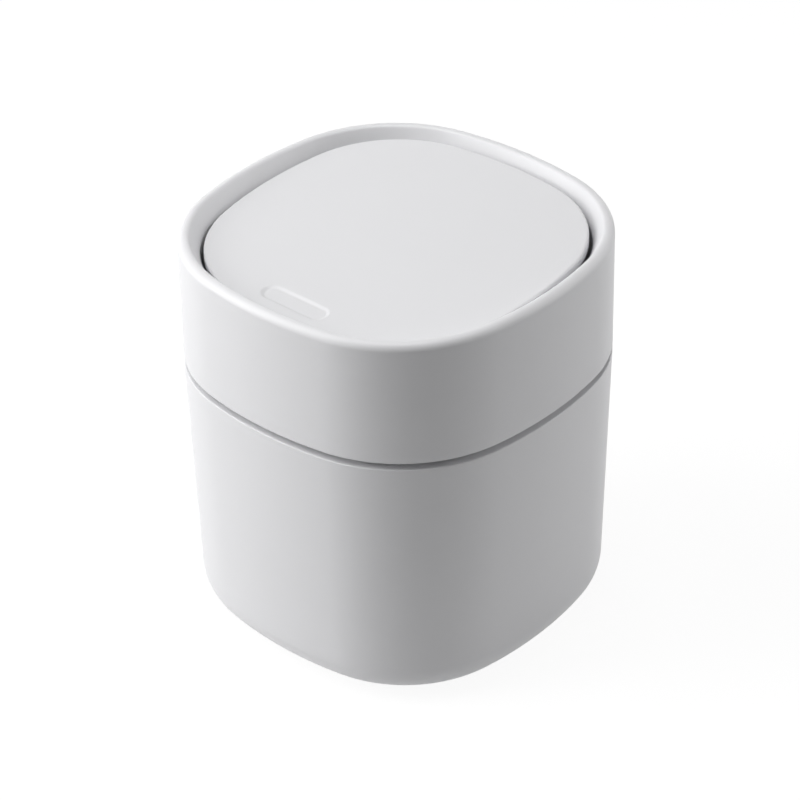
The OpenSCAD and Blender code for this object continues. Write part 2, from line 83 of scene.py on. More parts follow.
# Sizes and colours

class BinSizes(PropertyGroup):
    """Sizes of the bin, in metres"""
    head_width: FloatProperty(
        name="Head width", description="Width of the head across its flat sides",
        default=0.130, min=0.122, max=0.150, unit="LENGTH")
    corner_radius: FloatProperty(
        name="Corner radius", description="Radius of the head's corners, seen from above",
        default=0.0482, min=0.045, max=0.051, unit="LENGTH")
    total_height: FloatProperty(
        name="Overall height", description="Height with the head on",
        default=0.140, min=0.130, max=0.170, unit="LENGTH")
    shoulder_height: FloatProperty(
        name="Shoulder height", description="Height of the bin's shoulder",
        default=0.0944, min=0.088, max=0.0946, unit="LENGTH")
    groove: FloatProperty(
        name="Groove", description="Height of the dark groove between bin and head",
        default=0.0022, min=0.0012, max=0.003, unit="LENGTH")
    dimple_length: FloatProperty(
        name="Dimple length", description="Length of the finger dimple in the lid",
        default=0.027, min=0.020, max=0.034, unit="LENGTH")
    dimple_width: FloatProperty(
        name="Dimple width", description="Width of the finger dimple in the lid",
        default=0.0085, min=0.006, max=0.009, unit="LENGTH")
    dimple_depth: FloatProperty(
        name="Dimple depth", description="Depth of the finger dimple in the lid",
        default=0.0006, min=0.0005, max=0.0012, unit="LENGTH")
    lid_dip: FloatProperty(
        name="Lid dip", description="Slope of the closed lid down to its dimple",
        default=math.radians(1.8), min=0.0, max=math.radians(2.0), subtype="ANGLE", unit="ROTATION")


class BinColours(PropertyGroup):
    """Colours and finishes of the bin"""
    shell: FloatVectorProperty(
        name="Shell", description="Colour of the outer mouldings and the lid",
        default=(0.80, 0.80, 0.815), size=3, min=0.0, max=1.0, subtype="COLOR")
    inner: FloatVectorProperty(
        name="Inner mouldings", description="Colour of the frame, tray and latch case",
        default=(0.74, 0.74, 0.755), size=3, min=0.0, max=1.0, subtype="COLOR")
    latch: FloatVectorProperty(
        name="Latch", description="Colour of the latch slider and striker",
        default=(0.52, 0.53, 0.55), size=3, min=0.0, max=1.0, subtype="COLOR")
    steel: FloatVectorProperty(
        name="Steel", description="Colour of pins, springs and screws",
        default=(0.62, 0.63, 0.65), size=3, min=0.0, max=1.0, subtype="COLOR")
    pads: FloatVectorProperty(
        name="Foot pads", description="Colour of the foot pads",
        default=(0.62, 0.62, 0.63), size=3, min=0.0, max=1.0, subtype="COLOR")
    floor: FloatVectorProperty(
        name="Floor", description="Colour of the floor",
        default=(0.70, 0.70, 0.70), size=3, min=0.0, max=1.0, subtype="COLOR")
    shell_roughness: FloatProperty(
        name="Shell roughness", description="Roughness of the outer mouldings",
        default=0.42, min=0.05, max=1.0, subtype="FACTOR")
    grain_seed: IntProperty(
        name="Grain seed", description="Offset of the mould grain pattern", default=7, min=0)


def sizes():
    return bpy.context.scene.bin_sizes


def colours():
    return bpy.context.scene.bin_colours


# The outline's rule

class Outline:
    """A square with bowed sides and round corners: four side arcs and four corner arcs that meet
    with one tangent. The 11-60-61 triangle places the centres, which every inset shares."""
    short, long, slant = 11.0, 60.0, 61.0

    def __init__(self):
        half = sizes().head_width / MM / 2
        corner = sizes().corner_radius / MM
        unit = round((half - corner) / (self.slant + self.short - self.long), 3)
        self.mid = self.short * unit
        self.side_back = (self.long - self.short) * unit
        self.side_arc = half + self.side_back
        self.corner_arc = self.side_arc - self.slant * unit
        self.turn = math.asin(self.short / self.slant)

    def angles(self):
        """Directions of the outline's normal, once round, finer on the corners than on the sides"""
        found = []
        for quarter in range(4):
            start = quarter * math.pi / 2
            side = [start - self.turn + 2 * self.turn * i / SIDE_STEPS for i in range(SIDE_STEPS)]
            sweep = math.pi / 2 - 2 * self.turn
            corner = [start + self.turn + sweep * i / CORNER_STEPS for i in range(CORNER_STEPS)]
            found += side + corner
        return found

    def point(self, inset, angle):
        """Where the outline at an inset has its normal at an angle, in millimetres"""
        quarter = round(angle / (math.pi / 2))
        turn = quarter * math.pi / 2
        local = angle - turn
        if abs(local) <= self.turn:
            x = -self.side_back + (self.side_arc - inset) * math.cos(local)
            y = (self.side_arc - inset) * math.sin(local)
        else:
            x = self.mid + (self.corner_arc - inset) * math.cos(local)
            y = math.copysign(self.mid, local) + (self.corner_arc - inset) * math.sin(local)
        return (x * math.cos(turn) - y * math.sin(turn), x * math.sin(turn) + y * math.cos(turn))

    def half_at(self, inset, y):
        """Half the width of the outline at an inset, on a line across the object"""
        return self.mid + math.sqrt((self.corner_arc - inset) ** 2 - (y - self.mid) ** 2)

    def diagonal(self, inset):
        """The point on the corner's diagonal at an inset"""
        return self.mid + (self.corner_arc - inset) * math.sin(math.pi / 4)


def arc(cx, cz, radius, start, stop, steps):
    """Points of an arc in a section, angles in degrees"""
    points = []
    for i in range(steps + 1):
        angle = math.radians(start + (stop - start) * i / steps)
        points.append((cx + radius * math.cos(angle), cz + radius * math.sin(angle)))
    return points


def eased(section, run=0.35, closed=True):
    """Adds a point near each end of the long straight stretches, so that they shade flat"""
    points = []
    count = len(section)
    for i, here in enumerate(section):
        after = section[(i + 1) % count]
        points.append(here)
        if i == count - 1 and not closed:
            break
        length = math.dist(here, after)
        if length > 3 * run:
            for share in (run / length, 1 - run / length):
                points.append((here[0] + (after[0] - here[0]) * share,
                               here[1] + (after[1] - here[1]) * share))
    return points


# Meshes

def new_object(name, mesh):
    obj = bpy.data.objects.new(name, mesh)
    bpy.context.scene.collection.objects.link(obj)
    return obj


def mesh_from(name, points, faces, edges=()):
    mesh = bpy.data.meshes.new(name)
    mesh.from_pydata(points, edges, faces)
    mesh.update()
    return mesh


def ring_faces(rows, count, closed=False, first=0):
    """Faces between rows of a count of points each, from a first point on"""
    faces = []
    for row in range(rows if closed else rows - 1):
        here, above = first + row * count, first + (row + 1) % rows * count
        for i in range(count):
            j = (i + 1) % count
            faces.append((here + i, here + j, above + j, above + i))
    return faces


def tidy_mesh(mesh, merge=MERGE, smooth_angle=SMOOTH):
    """Merges doubles, turns the faces outwards and shades smooth up to an angle"""
    shape = bmesh.new()
    shape.from_mesh(mesh)
    bmesh.ops.remove_doubles(shape, verts=shape.verts, dist=merge)
    bmesh.ops.recalc_face_normals(shape, faces=shape.faces)
    for face in shape.faces:
        face.smooth = True
    for edge in shape.edges:
        if len(edge.link_faces) == 2:
            edge.smooth = edge.calc_face_angle(0.0) < math.radians(smooth_angle)
    shape.to_mesh(mesh)
    shape.free()
    mesh.update()


def lid_matrix():
    """Puts a mesh drawn level, with heights from the hinge axis, where the closed lid lies"""
    y, z = hinge_axis()
    return (Matrix.Translation((0, y, z)) @ Matrix.Rotation(sizes().lid_dip, 4, "X")
            @ Matrix.Translation((0, -y, 0)))


def hinge_axis():
    """The hinge axis (y, z) in metres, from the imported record"""
    for joint in frame["record"]["behaviour"]["joints"]:
        if joint["name"] == "lid_hinge":
            return joint["pos_m"][1], joint["pos_m"][2]
    raise RuntimeError("The record has no lid_hinge")


# Geometry node trees

def start_tree(name, kind, inputs, outputs):
    """A node group. Inputs are (name, socket type, default), outputs (name, socket type)."""
    tree = bpy.data.node_groups.new(name, kind)
    for label, socket_type, default in inputs:
        socket = tree.interface.new_socket(name=label, in_out="INPUT", socket_type=socket_type)
        if default is not None:
            socket.default_value = default
    for label, socket_type in outputs:
        tree.interface.new_socket(name=label, in_out="OUTPUT", socket_type=socket_type)
    return tree, tree.nodes.new("NodeGroupInput"), tree.nodes.new("NodeGroupOutput")


def start_shape(name, inputs):
    """A Geometry Nodes group with a geometry in and out"""
    return start_tree(name, "GeometryNodeTree", [("Geometry", "NodeSocketGeometry", None), *inputs],
                      [("Geometry", "NodeSocketGeometry")])


def start_pattern(name, inputs):
    """A shader group that puts out a colour, a roughness and a height"""
    return start_tree(name, "ShaderNodeTree", inputs, [
        ("Colour", "NodeSocketColor"), ("Roughness", "NodeSocketFloat"),
        ("Height", "NodeSocketFloat")])


def plug(tree, node, index, value):
    """Links a socket into a node's input, or sets that input to a number"""
    if isinstance(value, bpy.types.NodeSocket):
        tree.links.new(value, node.inputs[index])
    elif value is not None:
        node.inputs[index].default_value = value


def calc(tree, operation, *values):
    """A math node on sockets or numbers"""
    node = tree.nodes.new("ShaderNodeMath")
    node.operation = operation
    for index, value in enumerate(values):
        plug(tree, node, index, value)
    return node.outputs[0]


def end_shape(tree, geometry, source, sink):
    """Ends a tree in Realize Instances and Set Material"""
    realize = tree.nodes.new("GeometryNodeRealizeInstances")
    paint = tree.nodes.new("GeometryNodeSetMaterial")
    tree.links.new(geometry, realize.inputs[0])
    tree.links.new(realize.outputs[0], paint.inputs["Geometry"])
    tree.links.new(source.outputs["Material"], paint.inputs["Material"])
    tree.links.new(paint.outputs[0], sink.inputs[0])


def outline_tree():
    """Wraps a flat strip round the outline. A point of the strip is (angle, inset, height)."""
    name = "Wrap section round outline"
    if name in bpy.data.node_groups:
        return bpy.data.node_groups[name]
    tree, source, sink = start_shape(name, [
        ("Side arc", "NodeSocketFloat", 0.1336), ("Corner arc", "NodeSocketFloat", 0.0482),
        ("Side back", "NodeSocketFloat", 0.0686), ("Corner middle", "NodeSocketFloat", 0.0154),
        ("Side turn", "NodeSocketFloat", 0.18), ("Material", "NodeSocketMaterial", None)])
    side_arc, corner_arc = source.outputs["Side arc"], source.outputs["Corner arc"]
    side_back, mid = source.outputs["Side back"], source.outputs["Corner middle"]
    position = tree.nodes.new("GeometryNodeInputPosition")
    split = tree.nodes.new("ShaderNodeSeparateXYZ")
    tree.links.new(position.outputs[0], split.inputs[0])
    angle, inset, height = split.outputs
    local = calc(tree, "WRAP", angle, math.pi / 4, -math.pi / 4)
    quarter = calc(tree, "SUBTRACT", angle, local)
    on_side = calc(tree, "LESS_THAN", calc(tree, "ABSOLUTE", local), source.outputs["Side turn"])
    off_side = calc(tree, "SUBTRACT", 1.0, on_side)
    centre_x = calc(tree, "SUBTRACT", calc(tree, "MULTIPLY", off_side, mid),
                    calc(tree, "MULTIPLY", on_side, side_back))
    centre_y = calc(tree, "MULTIPLY", calc(tree, "SIGN", local),
                    calc(tree, "MULTIPLY", off_side, mid))
    full = calc(tree, "ADD", calc(tree, "MULTIPLY", on_side, side_arc),
                calc(tree, "MULTIPLY", off_side, corner_arc))
    radius = calc(tree, "SUBTRACT", full, inset)
    x = calc(tree, "MULTIPLY_ADD", radius, calc(tree, "COSINE", local), centre_x)
    y = calc(tree, "MULTIPLY_ADD", radius, calc(tree, "SINE", local), centre_y)
    cos_q, sin_q = calc(tree, "COSINE", quarter), calc(tree, "SINE", quarter)
    wrapped_x = calc(tree, "SUBTRACT", calc(tree, "MULTIPLY", x, cos_q),
                     calc(tree, "MULTIPLY", y, sin_q))
    wrapped_y = calc(tree, "ADD", calc(tree, "MULTIPLY", x, sin_q),
                     calc(tree, "MULTIPLY", y, cos_q))
    join = tree.nodes.new("ShaderNodeCombineXYZ")
    for index, value in enumerate((wrapped_x, wrapped_y, height)):
        plug(tree, join, index, value)
    move = tree.nodes.new("GeometryNodeSetPosition")
    tree.links.new(source.outputs["Geometry"], move.inputs["Geometry"])
    tree.links.new(join.outputs[0], move.inputs["Position"])
    end_shape(tree, move.outputs[0], source, sink)
    return tree


def repeat_tree():
    """Stands a piece at every point of the input mesh"""
    name = "Stand a piece at each point"
    if name in bpy.data.node_groups:
        return bpy.data.node_groups[name]
    tree, source, sink = start_shape(name, [
        ("Piece", "NodeSocketObject", None), ("Material", "NodeSocketMaterial", None)])
    info = tree.nodes.new("GeometryNodeObjectInfo")
    tree.links.new(source.outputs["Piece"], info.inputs["Object"])
    scatter = tree.nodes.new("GeometryNodeInstanceOnPoints")
    tree.links.new(source.outputs["Geometry"], scatter.inputs["Points"])
    tree.links.new(info.outputs["Geometry"], scatter.inputs["Instance"])
    end_shape(tree, scatter.outputs[0], source, sink)
    return tree


def wire_tree():
    """Draws a round wire along the input mesh's line of edges"""
    name = "Round wire along a line"
    if name in bpy.data.node_groups:
        return bpy.data.node_groups[name]
    tree, source, sink = start_shape(name, [
        ("Wire radius", "NodeSocketFloat", 0.00035), ("Sides", "NodeSocketInt", 16),
        ("Material", "NodeSocketMaterial", None)])
    line = tree.nodes.new("GeometryNodeMeshToCurve")
    ring = tree.nodes.new("GeometryNodeCurvePrimitiveCircle")
    tree.links.new(source.outputs["Geometry"], line.inputs["Mesh"])
    tree.links.new(source.outputs["Sides"], ring.inputs["Resolution"])
    tree.links.new(source.outputs["Wire radius"], ring.inputs["Radius"])
    draw = tree.nodes.new("GeometryNodeCurveToMesh")
    tree.links.new(line.outputs[0], draw.inputs["Curve"])
    tree.links.new(ring.outputs[0], draw.inputs["Profile Curve"])
    draw.inputs["Fill Caps"].default_value = True
    end_shape(tree, draw.outputs[0], source, sink)
    return tree


def through_nodes(name, mesh, tree, values, smooth_angle=SMOOTH):
    """Runs a mesh through a node tree and gives the result as a plain object"""
    seed = new_object(name + "_seed", mesh)
    modifier = seed.modifiers.new(tree.name, "NODES")
    modifier.node_group = tree
    for item in tree.interface.items_tree:
        if item.item_type == "SOCKET" and item.in_out == "INPUT" and item.name in values:
            modifier[item.identifier] = values[item.name]
    graph = bpy.context.evaluated_depsgraph_get()
    result = bpy.data.meshes.new_from_object(seed.evaluated_get(graph))
    bpy.data.objects.remove(seed)
    result.name = name
    if not result.polygons:
        raise RuntimeError(f"{name}: the node tree gave no faces")
    tidy_mesh(result, smooth_angle=smooth_angle)
    return new_object(name, result)


def wrapped(name, section, finish, closed=True):
    """A piece whose section runs round the outline. An open section is closed flat at its ends."""
    outline = Outline()
    angles = outline.angles()
    count, rows = len(angles), len(section)
    points = [(angle, inset * MM, height * MM) for inset, height in section for angle in angles]
    faces = ring_faces(rows, count, closed)
    if not closed:
        faces += [tuple(range(row * count, row * count + count)) for row in (0, rows - 1)]
    # The angle is a hair wider than the side arc's, so that their shared point counts as the side's
    return through_nodes(name, mesh_from(name + "_strip", points, faces), outline_tree(), {
        "Side arc": outline.side_arc * MM, "Corner arc": outline.corner_arc * MM,
        "Side back": outline.side_back * MM, "Corner middle": outline.mid * MM,
        "Side turn": outline.turn + 1e-4, "Material": finish})


def repeated(name, piece, places, finish, smooth_angle=SMOOTH):
    """Copies of a piece at given places, as one mesh"""
    points = mesh_from(name + "_places", [Vector(p) for p in places], [])
    obj = through_nodes(name, points, repeat_tree(), {"Piece": piece, "Material": finish},
                        smooth_angle)
    bpy.data.objects.remove(piece)
    return obj


def wire(name, path, radius, finish):
    """A round wire along a path given in millimetres"""
    points = [Vector(p) * MM for p in path]
    edges = [(i, i + 1) for i in range(len(points) - 1)]
    return through_nodes(name, mesh_from(name + "_line", points, [], edges), wire_tree(), {
        "Wire radius": radius * MM, "Sides": WIRE_SIDES, "Material": finish}, WIRE_SMOOTH)


def turned(name, profile, steps=48):
    """A piece turned about Z, from a profile of (radius, height) in millimetres, axis to axis"""
    points = []
    for radius, height in profile:
        for i in range(steps):
            angle = 2 * math.pi * i / steps
            points.append((radius * math.cos(angle) * MM, radius * math.sin(angle) * MM,
                           height * MM))
    mesh = mesh_from(name, points, ring_faces(len(profile), steps))
    shape = bmesh.new()
    shape.from_mesh(mesh)
    bmesh.ops.remove_doubles(shape, verts=shape.verts, dist=FINE_MERGE)
    bmesh.ops.dissolve_degenerate(shape, edges=shape.edges, dist=FINE_MERGE)
    shape.to_mesh(mesh)
    shape.free()
    tidy_mesh(mesh, merge=FINE_MERGE)
    return new_object(name, mesh)


def dressed(node, name, finish, edge=0.15):
    """A copy of a frame node with its doubles merged and its edges broken by a small radius"""
    obj = new_object(name, frame["nodes"][node].data.copy())
    shape = bmesh.new()
    shape.from_mesh(obj.data)
    bmesh.ops.remove_doubles(shape, verts=shape.verts, dist=2 * MERGE)
    bmesh.ops.dissolve_limit(shape, angle_limit=math.radians(1.0),
                             verts=shape.verts, edges=shape.edges)
    shape.to_mesh(obj.data)
    shape.free()
    broken = obj.modifiers.new("Broken edges", "BEVEL")
    broken.width = edge * MM
    broken.segments = 2
    broken.limit_method = "ANGLE"
    broken.angle_limit = math.radians(SHARP)
    broken.use_clamp_overlap = True
    obj = applied(obj)
    tidy_mesh(obj.data, smooth_angle=SHARP)
    coat(obj, finish)
    return obj


def applied(obj):
    """The object with its modifiers worked into a plain mesh"""
    name = obj.name
    graph = bpy.context.evaluated_depsgraph_get()
    mesh = bpy.data.meshes.new_from_object(obj.evaluated_get(graph))
    bpy.data.objects.remove(obj)
    return new_object(name, mesh)


def coat(obj, finish):
    obj.data.materials.clear()
    obj.data.materials.append(finish)


def place(obj, body, slot, *nodes):
    """Says what a finished piece rides on and hides the nodes that it stands for; its material slot
    is not used
    """
    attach(obj, body)
    if nodes:
        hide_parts(*nodes)


# Finishes

# Height of a surface's bump pattern, in metres
RELIEF_DEPTH = 2e-5


def end_pattern(tree, source, sink, shade, gloss, drift, height):
    """Ends a shader group: its colour times a shade, its gloss with some drift, and a height"""
    tint = tree.nodes.new("ShaderNodeVectorMath")
    tint.operation = "SCALE"
    tree.links.new(source.outputs["Colour"], tint.inputs[0])
    tree.links.new(shade, tint.inputs["Scale"])
    roughness = calc(tree, "ADD", source.outputs["Gloss level"], calc(
        tree, "MULTIPLY", calc(tree, "SUBTRACT", gloss, 0.5), drift))
    outputs = (("Colour", tint.outputs[0]), ("Roughness", roughness), ("Height", height))
    for label, socket in outputs:
        tree.links.new(socket, sink.inputs[label])


def grain_group():
    """Mould grain: a faint mottle in colour and gloss, and a fine texture for the bump"""
    name = "Mould grain"
    if name in bpy.data.node_groups:
        return bpy.data.node_groups[name]
    tree, source, sink = start_pattern(name, [
        ("Colour", "NodeSocketColor", (0.8, 0.8, 0.8, 1)), ("Mottle", "NodeSocketFloat", 0.02),
        ("Gloss level", "NodeSocketFloat", 0.42), ("Gloss drift", "NodeSocketFloat", 0.06),
        ("Grain size", "NodeSocketFloat", 2600.0), ("Seed", "NodeSocketFloat", 0.0)])
    where = tree.nodes.new("ShaderNodeTexCoord")
    shift = tree.nodes.new("ShaderNodeVectorMath")
    shift.operation = "ADD"
    tree.links.new(where.outputs["Object"], shift.inputs[0])
    tree.links.new(source.outputs["Seed"], shift.inputs[1])

    def noise(scale, detail, roughness):
        node = tree.nodes.new("ShaderNodeTexNoise")
        plug(tree, node, "Scale", scale)
        node.inputs["Detail"].default_value = detail
        node.inputs["Roughness"].default_value = roughness
        tree.links.new(shift.outputs[0], node.inputs["Vector"])
        return node.outputs["Fac"]

    cloud = noise(38.0, 3.0, 0.55)
    flow = noise(140.0, 2.0, 0.5)
    fine = noise(source.outputs["Grain size"], 2.0, 0.6)
    centred = calc(tree, "SUBTRACT", calc(tree, "ADD", calc(tree, "MULTIPLY", cloud, 0.65),
                                          calc(tree, "MULTIPLY", fine, 0.35)), 0.5)
    shade = calc(tree, "ADD", 1.0, calc(tree, "MULTIPLY", centred, source.outputs["Mottle"]))
    end_pattern(tree, source, sink, shade, flow, source.outputs["Gloss drift"], fine)
    return tree


def drawn_group():
    """Drawn metal: fine streaks in gloss and height across the stretch of a wire or pin"""
    name = "Drawn metal"
    if name in bpy.data.node_groups:
        return bpy.data.node_groups[name]
    tree, source, sink = start_pattern(name, [
        ("Colour", "NodeSocketColor", (0.6, 0.6, 0.6, 1)), ("Gloss level", "NodeSocketFloat", 0.28),
        ("Streak size", "NodeSocketFloat", 1800.0)])
    where = tree.nodes.new("ShaderNodeTexCoord")
    stretch = tree.nodes.new("ShaderNodeMapping")
    stretch.inputs["Scale"].default_value = (0.15, 1.0, 1.0)
    tree.links.new(where.outputs["Object"], stretch.inputs["Vector"])
    streak = tree.nodes.new("ShaderNodeTexNoise")
    tree.links.new(stretch.outputs[0], streak.inputs["Vector"])
    tree.links.new(source.outputs["Streak size"], streak.inputs["Scale"])
    streak.inputs["Detail"].default_value = 3.0
    fac = streak.outputs["Fac"]
    shade = calc(tree, "ADD", 0.9, calc(tree, "MULTIPLY", fac, 0.2))
    end_pattern(tree, source, sink, shade, fac, 0.15, fac)
    return tree


def patterned(name, group, values, bump, metallic=0.0):
    """A material: a pattern group into a Principled shader, by way of a Bump node"""
    if name in bpy.data.materials:
        return bpy.data.materials[name]
    material = bpy.data.materials.new(name)
    material.use_nodes = True
    tree = material.node_tree
    shader = tree.nodes["Principled BSDF"]
    pattern = tree.nodes.new("ShaderNodeGroup")
    pattern.node_tree = group
    for label, value in values.items():
        pattern.inputs[label].default_value = value
    tree.links.new(pattern.outputs["Colour"], shader.inputs["Base Color"])
    tree.links.new(pattern.outputs["Roughness"], shader.inputs["Roughness"])
    relief = tree.nodes.new("ShaderNodeBump")
    relief.inputs["Strength"].default_value = bump
    relief.inputs["Distance"].default_value = RELIEF_DEPTH
    tree.links.new(pattern.outputs["Height"], relief.inputs["Height"])
    tree.links.new(relief.outputs["Normal"], shader.inputs["Normal"])
    shader.inputs["Metallic"].default_value = metallic
    return material


def rgba(colour):
    return (*colour, 1.0)


def shell_finish():
    return patterned("Satin shell plastic", grain_group(), {
        "Colour": rgba(colours().shell), "Mottle": 0.03, "Gloss level": colours().shell_roughness,
        "Gloss drift": 0.08, "Grain size": 2600.0, "Seed": colours().grain_seed * 0.1}, 0.35)


def inner_finish():
    return patterned("Matt inner plastic", grain_group(), {
        "Colour": rgba(colours().inner), "Mottle": 0.05, "Gloss level": 0.55, "Gloss drift": 0.1,
        "Grain size": 1700.0, "Seed": 1.3}, 0.5)


def latch_finish():
    return patterned("Smooth latch plastic", grain_group(), {
        "Colour": rgba(colours().latch), "Mottle": 0.06, "Gloss level": 0.33, "Gloss drift": 0.08,
        "Grain size": 3200.0, "Seed": 2.1}, 0.25)


def steel_finish():
    return patterned("Drawn spring steel", drawn_group(), {
        "Colour": rgba(colours().steel), "Gloss level": 0.3, "Streak size": 1800.0},
        0.3, metallic=1.0)


def pad_finish():
    return patterned("Soft pad rubber", grain_group(), {
        "Colour": rgba(colours().pads), "Mottle": 0.12, "Gloss level": 0.8, "Gloss drift": 0.1,
        "Grain size": 1400.0, "Seed": 3.7}, 0.8)


# Shared sizes, in millimetres. An inset is a distance in from the head's outline.

# Bin: draw-in of the base, radii of its edges, floor and neck
BASE_TAPER = 2.0
BASE_R = 13.0
BASE_RIM = 0.6
PAD_PROUD = 0.6
FOOT_R = 0.4
FOOT_MID = 0.45
FOOT_SIDE = 0.25
HOLLOW_RUN = 1.2
SHOULDER_R = 0.4
WALL = 2.2
FLOOR_UNDER = 1.8
FLOOR_TOP = 3.2
FLOOR_INSET = 30.0
NECK_INSET = 3.4
NECK_INSIDE = 5.4
NECK_TOP = 104.0
NECK_FOOT_R = 0.3
NECK_OUT_R = 0.5
NECK_IN_R = 0.4

# Foot pads
PAD_INSET = 22.0
PAD_R = 5.0
PAD_EDGE_R = 0.5
PAD_TOP = 1.8

# Head: skirt, rolled rim, slope inside it and well wall down to the shelf
HEAD_DRAFT = 0.2
SKIRT_T = 2.2
SKIRT_OUT_R = 0.6
SKIRT_IN_R = 0.5
RIM_CREST = 3.0
RIM_OUT_R = 2.6
RIM_IN_R = 1.4
RIM_T = 2.8
SLOPE_H = 6.4
WELL_INSET = 7.2
WELL_FOOT = 7.4
WELL_FOOT_R = 0.3
WELL_T = 1.8
WELL_BEND = 1.2
SHELF_TOP = 110.4
SHELF_UNDER = 108.0
BOSS_INSET = 8.9
BOSS_R = 3.0
BOSS_H = 7.0
BOSS_EDGE_R = 0.4

# Lid, with heights counted from the hinge axis
LID_INSET = 8.4
LID_EDGE_R = 0.8
FLANGE_T = 1.4
FLANGE_R = 0.2
FLANGE_Z = 0.4
SKIN_TOP = 3.6
SKIN_UNDER = 1.6
PAN_UNDER = -3.4
DIMPLE_IN = 9.0
DIMPLE_SLOPE = 1.7
PRESS_TURN = 1.2

# Hinge
HINGE_INSET = 10.2
POST_INSET = 4.5
POST_W = 3.6
KNUCKLE_W = 3.6
SIDE_GAP = 0.4
PIN_R = 1.0
PIN_EDGE_R = 0.25
PIN_PROUD = 0.5
PIN_INNER_END = 0.6
WIRE_R = 0.35
COIL_R = 1.9
COIL_TURNS = 2.75
COIL_PITCH = 1.25
COIL_STEPS = 48
LEG_TOP = 1.2
LEG_END = 10.0
ARM_START = 0.05
ARM_END = 12.0

# Latch
LATCH_Y = -51.8
SLIDER_Z = 117.5
CHAMBER_FLOOR = 112.0
LATCH_COIL_R = 1.9
LATCH_WIRE_R = 0.25
LATCH_TURNS = 4
LATCH_LEG = 0.75
LEG_PLAY = 0.02
LEG_TURN = 0.15
LATCH_STEPS = 32
GUIDE_R = 0.4
GUIDE_BACK = 3.75
GUIDE_TIP = 2.4
GUIDE_RISE = 1.2
GUIDE_BEND = 0.6

# Screws
SCREW_R = 1.1
SCREW_HEAD_R = 2.1
SCREW_TIP = 0.4
TIP_SHARE = 0.7
HEAD_EDGE_R = 0.3
HEAD_SIDE = 0.55
CROWN_Z = 3.2
CROWN_R = 4.4
RECESS = (2.3, 0.5, 1.3)
RECESS_Z = -1.35
FRAME_SCREW_L = 6.9
LATCH_SCREW_L = 6.0
LID_SCREW_L = 4.6
LID_SCREW_X = 24.0
LID_SCREW_Y = 20.0
LATCH_SCREW_X = 10.5
LUG_T = 2.4


def corners_at(inset, height):
    """Four places on the diagonals, in metres"""
    d = Outline().diagonal(inset)
    return [(x * d * MM, y * d * MM, height * MM) for x in (-1, 1) for y in (-1, 1)]


# The bin

class CBIN_OT_body(Operator):
    """Makes the bin's tapered shell with its neck, and the pads under it"""
    bl_idname = "cbin.body"
    bl_label = "Bin and foot pads"

    def execute(self, context):
        shoulder = sizes().shoulder_height / MM
        centre = BASE_TAPER + BASE_R
        rim = centre + BASE_RIM
        section = eased(
            [(FLOOR_INSET, FLOOR_UNDER), (rim + HOLLOW_RUN, FLOOR_UNDER),
             (rim + FOOT_SIDE, PAD_PROUD + FOOT_SIDE)]
            + arc(rim - FOOT_MID, PAD_PROUD + FOOT_R, FOOT_R, -40, -90, 3)
            + arc(centre, PAD_PROUD + BASE_R, BASE_R, 270, 180, 28)
            + arc(SHOULDER_R, shoulder - SHOULDER_R, SHOULDER_R, 180, 90, 8)
            + arc(NECK_INSET - NECK_FOOT_R, shoulder + NECK_FOOT_R, NECK_FOOT_R, 270, 360, 3)
            + arc(NECK_INSET + NECK_OUT_R, NECK_TOP - NECK_OUT_R, NECK_OUT_R, 180, 90, 5)
            + arc(NECK_INSIDE - NECK_IN_R, NECK_TOP - NECK_IN_R, NECK_IN_R, 90, 0, 4)
            + [(NECK_INSIDE, shoulder - WALL), (WALL, shoulder - NECK_INSIDE)]
            + arc(centre, FLOOR_TOP + BASE_R - WALL, BASE_R - WALL, 180, 270, 20)
            + [(FLOOR_INSET, FLOOR_TOP)], closed=False)
        shell = wrapped("bin_shell", section, shell_finish(), closed=False)
        place(shell, "bin", "shell_white", "bin_body")
        pad = turned("foot_pad_one", [(0, PAD_TOP), (PAD_R, PAD_TOP), (PAD_R, PAD_EDGE_R)]
                     + arc(PAD_R - PAD_EDGE_R, PAD_EDGE_R, PAD_EDGE_R, 0, -90, 5)[1:] + [(0, 0)])
        pads = repeated("foot_pad_set", pad, corners_at(PAD_INSET, 0), pad_finish())
        place(pads, "bin", "foot_rubber", "foot_pads")
        return {"FINISHED"}


# The head

